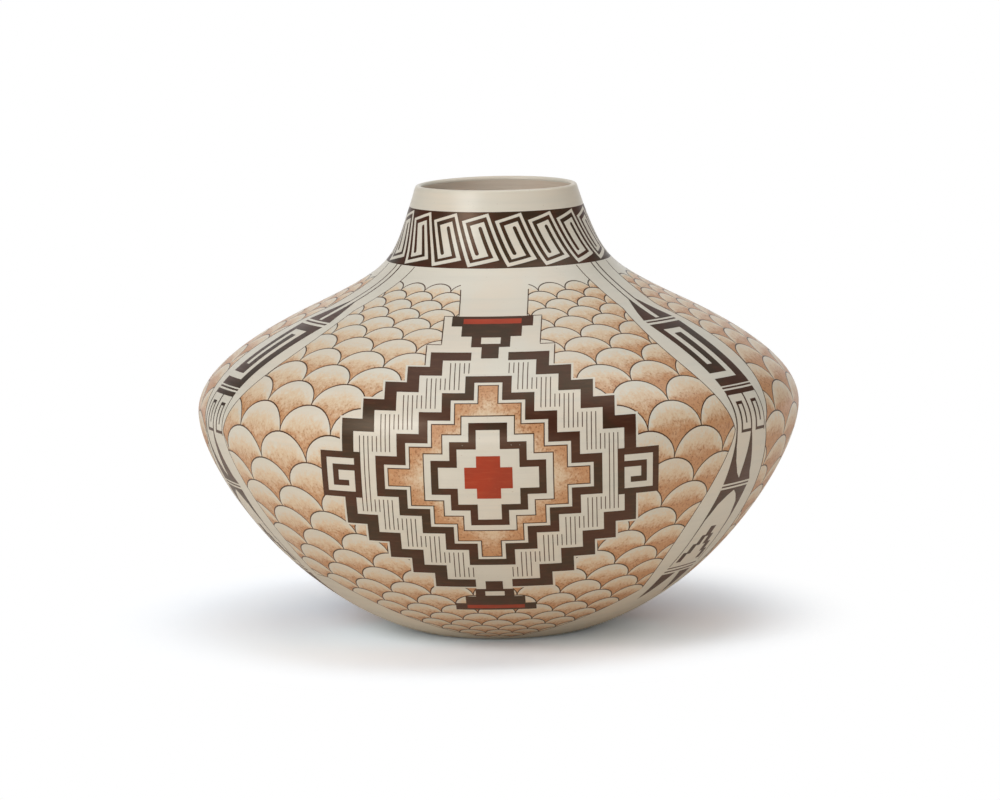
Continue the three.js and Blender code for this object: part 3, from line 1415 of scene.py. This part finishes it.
@dataclass
class CloudRows:
    """Rows of round-topped cells, each one dabbed dark at its foot and fading to bare slip at its top."""

    form: WallForm
    around: int = 30
    phase: float = math.radians(-2.0)
    rise: float = 0.46  # height of a row, as a share of a cell's width
    low: float = 7.0
    high: float = 268.0
    line: float = 0.58
    line_ends: float = 0.8  # share of that width at both ends of a line
    line_swell: float = 0.35  # share that is added halfway
    load: float = 0.74  # strength of the wash at the foot of a cell
    fickle: float = 0.16  # how much stronger it may be from cell to cell
    scatter: tuple[float, float] = (12.9898, 78.233)  # spread that over the cells and the rows
    low_load: float = 0.14  # further strength on the lower half of the jar
    low_span: tuple[float, float] = (215.0, 130.0)  # run down from which it grows, and over how far
    high_loss: float = 0.28  # strength lost near the neck
    high_span: tuple[float, float] = (185.0, 50.0)
    side_painted_shade: float = 0.3  # further strength on the panels that face sideways: painted shade that darkens the wash towards the silhouettes
    side_painted_shade_top: float = 0.15  # and what is left of that painted shade at the top of their cells
    side_middle: float = -0.3  # azimuth from which they are counted
    side_span: tuple[float, float] = (0.6, 0.55)
    fade: float = 1.45  # how soon the wash thins out from the foot

    def __post_init__(self) -> None:
        """Counts rows up the wall, so that every row is as much lower as its cells are narrower."""
        width = TURN * self.form.radius / self.around
        middle = (width[1:] + width[:-1]) / 2
        self.level = np.concatenate([[0.0], np.cumsum(np.diff(self.form.run) / middle)])
        self.level -= np.interp(self.low, self.form.run, self.level)
        self.rows = int(np.interp(self.high, self.form.run, self.level) / self.rise)

    def grid(self, chart: np.ndarray) -> tuple[np.ndarray, np.ndarray]:
        """Cell and row coordinates of chart points, both in cell widths."""
        across = (chart[..., 0] - self.phase) * self.around / TURN
        return across, np.interp(chart[..., 1], self.form.run, self.level)

    def arcs(self, first: float, last: float) -> list[np.ndarray]:
        """Draws the tops of all cells between two azimuths.

        Args:
            first: The lower azimuth.
            last: The higher azimuth.

        Returns:
            Their paths on the chart, row by row from the bottom up.
        """
        turns = np.linspace(0, math.pi, 19)
        paths = []
        start, stop = ((a - self.phase) * self.around / TURN for a in (first, last))
        for row in range(self.rows):
            shift = 0.5 * (row % 2)
            for cell in range(math.floor(start) - 1, math.ceil(stop) + 2):
                across = cell + shift + 0.5 * np.cos(turns)
                level = (row + np.sin(turns)) * self.rise
                if across.max() < start or across.min() > stop:
                    continue
                run = np.interp(level, self.level, self.form.run)
                paths.append(np.stack([self.phase + across * TURN / self.around, run], 1))
        return paths

    def lines(self, brush: Brush, first: float, last: float) -> list[Patch]:
        """Draws the thin line over each cell, a little wider halfway.

        Args:
            brush: Draws on the wall.
            first: The lower azimuth.
            last: The higher azimuth.

        Returns:
            The lines.
        """
        shapes = []
        for path in self.arcs(first, last):
            swell = self.line_ends + self.line_swell * np.sin(np.linspace(0, math.pi, len(path)))
            shapes.append(brush.stroke(path, self.line * swell))
        return shapes

    def owners(self, middles: np.ndarray) -> tuple[np.ndarray, np.ndarray, np.ndarray]:
        """Finds the lowest cell that each of some chart points lies in.

        Args:
            middles: The points.

        Returns:
            The middle of the cell, in cell widths, its row, and whether there is such a cell.
        """
        across, level = self.grid(middles)
        row = np.zeros(len(middles), int)
        cell = np.zeros(len(middles))
        found = np.zeros(len(middles), bool)
        lowest = np.floor(level / self.rise).astype(int) - 1
        for lift in range(4):
            tried = lowest + lift
            shift = 0.5 * np.mod(tried, 2)
            near = np.round(across - shift) + shift
            inside = ((across - near) / 0.5) ** 2 + (level / self.rise - tried) ** 2 <= 1.0
            fresh = inside & ~found
            row[fresh], cell[fresh] = tried[fresh], near[fresh]
            found |= inside
        return cell, row, found

    def shade(self, middles: np.ndarray, corners: np.ndarray) -> np.ndarray:
        """Sets the strength of the wash on triangles that each lie in one cell, with painted shade on the sideways
        panels.

        Args:
            middles: Their middles on the chart.
            corners: Their corners on the chart.

        Returns:
            The strength at each corner.
        """
        cell, row, found = self.owners(middles)
        azimuth, run = corners[..., 0], corners[..., 1]
        x, y = self.grid(corners)
        x, y = x - cell[:, None], y / self.rise - row[:, None]
        from_top = np.clip(1 - np.hypot(x / 0.5, y), 0, 1)
        from_foot = np.minimum(np.hypot((x - 0.5) / 0.5, y + 1), np.hypot((x + 0.5) / 0.5, y + 1)) - 1
        share = from_top / (from_top + np.clip(from_foot, 0, None) + 1e-6)
        by_cell, by_row = self.scatter
        fickle = 0.5 + 0.5 * np.sin(by_cell * np.mod(cell, self.around) + by_row * row)
        lower = smooth((self.low_span[0] - run) / self.low_span[1])
        upper = smooth((run - self.high_span[0]) / self.high_span[1])
        # Painted shade: the wash grows stronger on the panels turned away from the camera, darker towards the
        # silhouettes.
        turned = np.abs(np.angle(np.exp(1j * (azimuth - self.side_middle))))
        turned = smooth((turned - self.side_span[0]) / self.side_span[1])
        strength = (self.load + self.fickle * fickle)[:, None] + self.low_load * lower
        strength = strength - self.high_loss * upper + self.side_painted_shade * turned
        painted = strength * np.clip(share, 0, 1) ** self.fade + self.side_painted_shade_top * turned
        return np.where(found[:, None], painted, 0.0)


@dataclass
class TerracedEmblem:
    """The large stepped lozenge in the middle of each panel, with its key blocks and peaks."""

    form: WallForm
    azimuth: float
    middle: float = 140.0
    size: float = 53.0
    steps: int = 5
    gap: float = 11.0  # clear slip between the lozenge and the arms round it
    arm: float = 6.0
    margin: float = 1.9  # clear slip at both ends of a hatch line
    pitch: float = 2.15  # from one hatch line to the next
    hatch_from: float = 9.2  # from the middle to the first hatch line
    hatch_line: float = 0.4
    cut: float = 8.5  # half the space between two arms, above and below the middle

    def patches(self) -> list[Patch]:
        """Paints all shapes of the emblem.

        Returns:
            The shapes, in the order in which they are painted.
        """
        axis = math.radians(self.azimuth)
        brush = Brush(self.form, lambda run: np.full_like(np.asarray(run, float), axis))
        motifs = (self._niche, self._arms, self._hatching, self._lozenge, self._side_keys, self._peaks)
        return [shape for motif in motifs for shape in motif(brush)]

    def _at(self, points: np.ndarray) -> np.ndarray:
        """Moves an outline to the middle of the emblem."""
        return np.asarray(points) + [0, self.middle]

    def _niche(self, brush: Brush) -> list[Patch]:
        """Leaves bare slip above the emblem, open to the neck, with a thin line down each stepped side.

        Args:
            brush: Draws on the wall.

        Returns:
            The shapes, in the order in which they are painted.
        """
        side = [(30, 190), (30, 216), (23, 216), (23, 240), (16, 240), (16, 262)]
        outline = [*side, (16, 274), (-16, 274), *[(-x, run) for x, run in reversed(side)]]
        lines = [brush.line([(way * x, run) for x, run in side], 0.5) for way in (-1, 1)]
        return [brush.area(outline, Paint.RESERVE), *lines]

    def _arms(self, brush: Brush) -> list[Patch]:
        """Paints four stepped dark arms round the lozenge, with clear slip along both edges.

        Args:
            brush: Draws on the wall.

        Returns:
            The shapes, in the order in which they are painted.
        """
        lozenge = terrace(self.size, self.steps)
        ground, outside, inside = (
            self._at(inset(lozenge, -self.gap - extra)) for extra in (self.arm + 1.1, self.arm, 0.0)
        )
        far, near = self.size + self.gap + self.arm + 2.0, self.size + 5.0
        return [
            brush.area(ground, Paint.RESERVE),
            brush.area(outside, Paint.DARK),
            brush.area(inside, Paint.RESERVE),
            *[brush.bar(-self.cut, self.cut, self.middle + way * near, self.middle + way * far, Paint.RESERVE)
              for way in (1, -1)],
        ]

    def _hatching(self, brush: Brush) -> list[Patch]:
        """Fills the band between the lozenge and the arms with fine upright lines.

        Args:
            brush: Draws on the wall.

        Returns:
            The shapes, in the order in which they are painted.
        """
        lines = []
        for side in np.arange(self.hatch_from, self.size + self.gap - self.margin, self.pitch):
            top = self._rise(side, self.gap - self.margin)
            foot = self._rise(side, self.margin) if side < self.size + self.margin else -top
            for x in (-side, side):
                lines.append(brush.line([(x, self.middle + foot), (x, self.middle + top)], self.hatch_line))
                if foot > 0:
                    lines.append(brush.line([(x, self.middle - top), (x, self.middle - foot)], self.hatch_line))
        return lines

    def _rise(self, side: float, out: float) -> float:
        """Measures the stepped outline of the lozenge.

        Args:
            side: Distance from the upright through the middle.
            out: How far the outline is moved out.

        Returns:
            Its height above the middle there.
        """
        tread = self.size / self.steps
        return min(self.size, (math.floor((self.size + out - abs(side)) / tread) + 1) * tread) + out

    def _wash(self, middles: np.ndarray, corners: np.ndarray) -> np.ndarray:
        """Sets the strength of the wash, which fades from the lozenge's outer edge inwards.

        Args:
            middles: Middles of triangles on the chart; not used.
            corners: Their corners on the chart.

        Returns:
            The strength at each corner.
        """
        side = (corners[..., 0] - math.radians(self.azimuth)) * self.form.radius_at(corners[..., 1])
        share = (np.abs(side) + np.abs(corners[..., 1] - self.middle)) / self.size
        return np.clip((share - 0.4) / 0.5, 0.1, 1)

    def _lozenge(self, brush: Brush) -> list[Patch]:
        """Paints the lozenge: dark edge, bare line, wash, and a smaller dark lozenge round a red one.

        Args:
            brush: Draws on the wall.

        Returns:
            The shapes, in the order in which they are painted.
        """
        whole = terrace(self.size, self.steps)
        heart = terrace(0.5 * self.size, 3)
        layers = [
            (whole, 0.0, Paint.DARK), (whole, 4.2, Paint.RESERVE), (whole, 5.8, Paint.DARK), (whole, 6.3, Paint.WASH),
            (heart, -3.6, Paint.DARK), (heart, -3.1, Paint.RESERVE), (heart, 0.0, Paint.DARK),
            (heart, 3.4, Paint.RESERVE), (terrace(11.0, 2), 0.0, Paint.RED),
        ]
        return [brush.area(self._at(inset(outline, depth)), paint, self._wash) for outline, depth, paint in layers]

    def _side_keys(self, brush: Brush) -> list[Patch]:
        """Paints a key that turns inwards at each side tip.

        Args:
            brush: Draws on the wall.

        Returns:
            The shapes, in the order in which they are painted.
        """
        shapes = []
        near, far = self.size + self.gap - 3.2, self.size + self.gap + 18
        for side in (-1, 1):
            for start, end, low, high, paint in (
                (near, far, -12, 12, Paint.DARK), (near + 3.2, far - 3.2, -8.8, 8.8, Paint.RESERVE),
                (near + 3.2, far - 6.4, 2.6, 5.6, Paint.DARK), (far - 9.4, far - 6.4, -5.6, 5.6, Paint.DARK),
                (near + 6.4, far - 6.4, -5.6, -2.6, Paint.DARK),
            ):
                shapes.append(brush.bar(side * start, side * end, self.middle + low, self.middle + high, paint))
        return shapes

    def _peaks(self, brush: Brush) -> list[Patch]:
        """Paints a stepped peak that hangs above the lozenge and one that stands below it.

        Args:
            brush: Draws on the wall.

        Returns:
            The shapes, in the order in which they are painted.
        """
        shapes = []
        for start, way, tread, rise in ((205.5, 1, 5.0, 8.6), (74.5, -1, 5.0, 6.4)):
            blocks = [((level + 1) * tread - 1, level, level + 1, Paint.DARK) for level in range(4)]
            blocks += [(13.5, 3.25, 3.75, Paint.RED), (4.5, 1.3, 1.9, Paint.RESERVE)]
            shapes += [brush.bar(-half, half, start + way * near * rise, start + way * far * rise, paint)
                       for half, near, far, paint in blocks]
        return shapes


@dataclass
class Panel:
    """One of the three wide panels between two dividers."""

    form: WallForm
    name: str
    left: DividerStrip
    right: DividerStrip
    rows: CloudRows
    emblem: TerracedEmblem
    turn: float = 0.0  # added to the right divider's azimuth where the panel runs past the back
    sag: float = 60.0  # how far the lower edge climbs towards the dividers
    sag_rate: float = 1.7  # how soon it does, for each radian
    sag_reach: float = 0.92  # radians from the emblem, past which it stays level
    edge_line: float = 0.5  # width of the panel's outline
    edge_step: float = 1.6  # from one point of a framing line to the next
    overlap: float = 0.05  # radians by which the field reaches past the framing lines
    ground_foot: float = 0.2  # millimetres above the foot of the field where the ground starts
    edge_foot: float = 0.3  # where the framing lines start
    sag_foot: float = 1.0  # where the lower edge hangs lowest

    def edges(self, run: np.ndarray) -> tuple[np.ndarray, np.ndarray]:
        """Azimuths of the two framing lines at a run."""
        return self.left.frame_edge(run, 1), self.right.frame_edge(run, -1) + self.turn

    def lower_edge(self, azimuth: np.ndarray) -> np.ndarray:
        """Run of the panel's lower edge, which hangs lowest below the emblem."""
        away = np.clip(azimuth - math.radians(self.emblem.azimuth), -self.sag_reach, self.sag_reach)
        return self.rows.low + self.sag_foot + self.sag * (1 - np.cos(self.sag_rate * away))

    def within(self, middles: np.ndarray) -> np.ndarray:
        """Tells which chart points lie inside the panel's outline.

        Args:
            middles: The points.

        Returns:
            Whether each of them does.
        """
        left, right = self.edges(middles[:, 1])
        between = (middles[:, 0] > left) & (middles[:, 0] < right)
        return between & (middles[:, 1] > self.lower_edge(middles[:, 0]))

    def field(self) -> PaintedField:
        """Lays out the panel's cells, lines and emblem.

        Returns:
            Its field.
        """
        low, high = self.rows.low, self.form.run_at(self.form.seams["shoulder"]) - BELOW_NECK
        runs = np.arange(low + self.edge_foot, high, self.edge_step)
        left, right = self.edges(runs)
        brush = Brush(self.form, np.zeros_like)
        first, last = float(left.min()) - self.overlap, float(right.max()) + self.overlap
        ends = np.linspace(first, last, math.ceil((last - first) / SEGMENT))
        ground = np.concatenate([
            np.stack([ends, np.full_like(ends, low + self.ground_foot)], 1),
            np.stack([ends[::-1], np.full_like(ends, self._top_row())], 1),
        ])
        below = np.stack([ends, self.lower_edge(ends)], 1)
        starts, stops = self.edges(below[:, 1])
        outlines = [below[(ends > starts) & (ends < stops)]]
        outlines += [np.stack([edge, runs], 1)[runs > self.lower_edge(edge)] for edge in (left, right)]
        patches = [
            Patch(ground, Paint.WASH, self.rows.shade), *self._caps(first, last),
            *self.rows.lines(brush, first, last), *self.emblem.patches(),
            *[brush.stroke(path, self.edge_line, crosses=True) for path in outlines],
        ]
        return PaintedField(f"{self.name}_panel", self.form, first, last, low, high, self.within, patches)

    def _top_row(self) -> float:
        """Run of the foot of the topmost row's cells."""
        return float(np.interp((self.rows.rows - 1) * self.rows.rise, self.rows.level, self.form.run))

    def _caps(self, first: float, last: float) -> list[Patch]:
        """Draws the domes of the topmost row, which stand above the ground's straight edge.

        Args:
            first: The lower azimuth.
            last: The higher azimuth.

        Returns:
            The domes.
        """
        tops = [path for path in self.rows.arcs(first, last) if abs(path[0, 1] - self._top_row()) < 0.01]
        return [Patch(path, Paint.WASH, self.rows.shade) for path in tops]


# ---------------------------------------------------------------- studio


@dataclass
class Studio:
    """Floor, soft lamps, white surroundings and the camera. Distances are in metres."""

    look_at: Vector = Vector((0.0004, 0.0, 0.1102))
    distance: float = 2.1655
    pitch: float = math.radians(7.40)
    roll: float = math.radians(-1.03)
    lens: float = 160.1
    sensor: float = 36.0
    lamp_aim: Vector = Vector((0, 0, 0.11))
    lamps: tuple[tuple[str, tuple[float, float, float], tuple[float, float], float], ...] = (
        ("key_left", (-1.355, -1.355, 1.13), (1.2, 1.2), 10.5),
        ("key_spot", (-1.18, -1.27, 1.42), (0.6, 0.6), 4.8),
        ("front_low", (-0.3, -2.2, 0.4), (1.5, 0.6), 7.5),
        ("right_high", (1.1, 0.0, 1.6), (1.0, 1.0), 4.0),
        ("top_soft", (0.0, 0.0, 1.9), (1.6, 1.6), 7.5),
    )
    ambient: float = 0.35
    room: float = 0.15  # brightness of the room beside and behind the camera, as gloss shows it
    backdrop: tuple[float, float] = (0.75, 0.97)  # how far back a direction points where the backdrop sets in
    floor_size: float = 30.0
    floor_light: Colour = (0.92, 0.85, 0.77)  # what the floor sends back to the jar
    contact_shadow_tint: Colour = (1.25, 1.42, 1.60)  # the floor as the camera sees it, right by the jar: a cooler painted tint in the jar's contact shadow
    shadow_white: Colour = (1.38, 1.46, 1.55)
    shadow_middle: tuple[float, float, float] = (-0.015, 0.02, 0.0)
    contact: tuple[float, float] = (0.06, 0.13)  # distances from that middle over which each change takes place
    shadow_edge: tuple[float, float] = (0.125, 0.195)
    far_floor: tuple[float, float] = (0.4, 1.5)

    def camera(self) -> None:
        """Puts the camera where the photographer's stood."""
        data = bpy.data.cameras.new("camera")
        data.lens, data.sensor_width, data.clip_end = self.lens, self.sensor, 2 * self.floor_size
        camera = bpy.data.objects.new("camera", data)
        way = Vector((0, math.cos(self.pitch), -math.sin(self.pitch)))
        turn = Euler((math.pi / 2 - self.pitch, 0, 0)).to_matrix().to_4x4() @ Matrix.Rotation(self.roll, 4, "Z")
        camera.matrix_world = Matrix.Translation(self.look_at - way * self.distance) @ turn
        bpy.context.scene.collection.objects.link(camera)
        bpy.context.scene.camera = camera

    def lamp(self, name: str, place: tuple[float, float, float], size: tuple[float, float], power: float) -> None:
        """Adds one soft box that faces the jar.

        Args:
            name: Its name.
            place: Where its middle is.
            size: Its width and height.
            power: Its power in watts.
        """
        data = bpy.data.lights.new(name, "AREA")
        data.shape, data.size, data.size_y, data.energy = "RECTANGLE", size[0], size[1], power
        lamp = bpy.data.objects.new(name, data)
        aim = self.lamp_aim - Vector(place)
        lamp.matrix_world = Matrix.Translation(place) @ aim.to_track_quat("-Z", "Y").to_matrix().to_4x4()
        bpy.context.scene.collection.objects.link(lamp)

    def world(self) -> None:
        """White backdrop for the eye, gloss and glass, a dimmer room round the camera, and even light for the rest."""
        world = bpy.data.worlds.new("studio")
        world.use_nodes = True
        sheet = NodeSheet(world.node_tree)
        path = sheet.node("LightPath").outputs
        seen = sheet.math("MAXIMUM", path["Is Camera Ray"], path["Is Transmission Ray"])
        way = sheet.node("SeparateXYZ", {0: sheet.coordinates["Generated"]}).outputs["Y"]
        room = sheet.remap(way, *self.backdrop, self.room, 1.0, ease=False)
        gloss = sheet.weigh(path["Is Glossy Ray"], self.ambient, room)
        light = sheet.node("Background", {"Color": (1.0, 1.0, 1.0), "Strength": sheet.weigh(seen, gloss, 1.0)})
        sheet.node("OutputWorld", {"Surface": light.outputs[0]})
        bpy.context.scene.world = world

    def floor(self) -> None:
        """A white floor that keeps the jar's soft shadow and turns to plain white away from it."""
        bpy.ops.object.select_all(action="DESELECT")
        bpy.ops.mesh.primitive_plane_add(size=self.floor_size, location=(0, 0, 0))
        floor = bpy.context.object
        floor.name = "floor"
        material = bpy.data.materials.new("studio_floor")
        material.use_nodes = True
        sheet = NodeSheet(material.node_tree)
        path = sheet.node("LightPath").outputs
        spots = {0: sheet.coordinates["Object"], 1: self.shadow_middle}
        away = sheet.node("VectorMath", spots, operation="DISTANCE").outputs["Value"]
        # Painted tint: right by the jar, in its contact shadow, the floor turns cooler for the camera.
        white = sheet.blend(sheet.remap(away, *self.contact), self.contact_shadow_tint, self.shadow_white)
        matt = sheet.node("BsdfDiffuse", {"Color": sheet.blend(path["Is Camera Ray"], self.floor_light, white)})
        glow = sheet.node("Emission", {"Strength": 1.0})
        mirrored = sheet.math("MAXIMUM", path["Is Glossy Ray"], path["Is Transmission Ray"])
        near = sheet.math("MULTIPLY", path["Is Camera Ray"], sheet.remap(away, *self.shadow_edge))
        far = sheet.math("MULTIPLY", mirrored, sheet.remap(away, *self.far_floor))
        share = sheet.math("MAXIMUM", near, far)
        mix = sheet.node("MixShader", {0: share, 1: matt.outputs[0], 2: glow.outputs[0]})
        sheet.node("OutputMaterial", {"Surface": mix.outputs[0]})
        floor.data.materials.append(material)

    def build(self) -> None:
        """Sets up everything round the jar."""
        self.camera()
        self.world()
        self.floor()
        for lamp in self.lamps:
            self.lamp(*lamp)
        bpy.context.scene.view_settings.view_transform = "Standard"


# ---------------------------------------------------------------- the whole jar


def main() -> None:
    """Builds the studio, the clay, and the paint, and reports each piece."""
    logging.basicConfig(level=logging.INFO, format="%(message)s")
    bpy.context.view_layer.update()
    Studio().build()
    form = WallForm()
    LOG.info("outer curve lies within %.2f mm of the CAD vertices", form.misfit())

    slip, wash, clay = BurnishedSlip().material(), StippledWash().material(), BareClay().material()
    dark, red = DARK_BROWN.material(), BRICK_RED.material()
    finishes = {
        Paint.DARK: (dark, "dark_paint"),
        Paint.WASH: (wash, "washed_slip"),
        Paint.RED: (red, "dark_paint"),
        Paint.CREAM: (slip, "cream_slip"),
    }
    pieces = ClayWall(form).build(slip, dark, clay)

    front = DividerStrip(form, "front_right", 54.3, -0.022, 5.2)
    back = DividerStrip(form, "back", 174.0, 0.012, 1.5)
    side = DividerStrip(form, "front_left", -68.3, 0.06)
    rows = CloudRows(form)
    panels = [
        Panel(form, "front", side, front, rows, TerracedEmblem(form, -2.0)),
        Panel(form, "right", front, back, rows, TerracedEmblem(form, 118.0)),
        Panel(form, "left", back, side, rows, TerracedEmblem(form, 238.0), TURN),
    ]
    fields = [KeyBand(form).field(), *[strip.field() for strip in (front, back, side)], *[p.field() for p in panels]]
    for painted in fields:
        pieces += painted.paint(finishes)

    for piece in pieces:
        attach(piece, "root")
        LOG.info("%s: %d triangles", piece.name, sum(len(p.vertices) - 2 for p in piece.data.polygons))


if __name__ == "__main__":
    main()
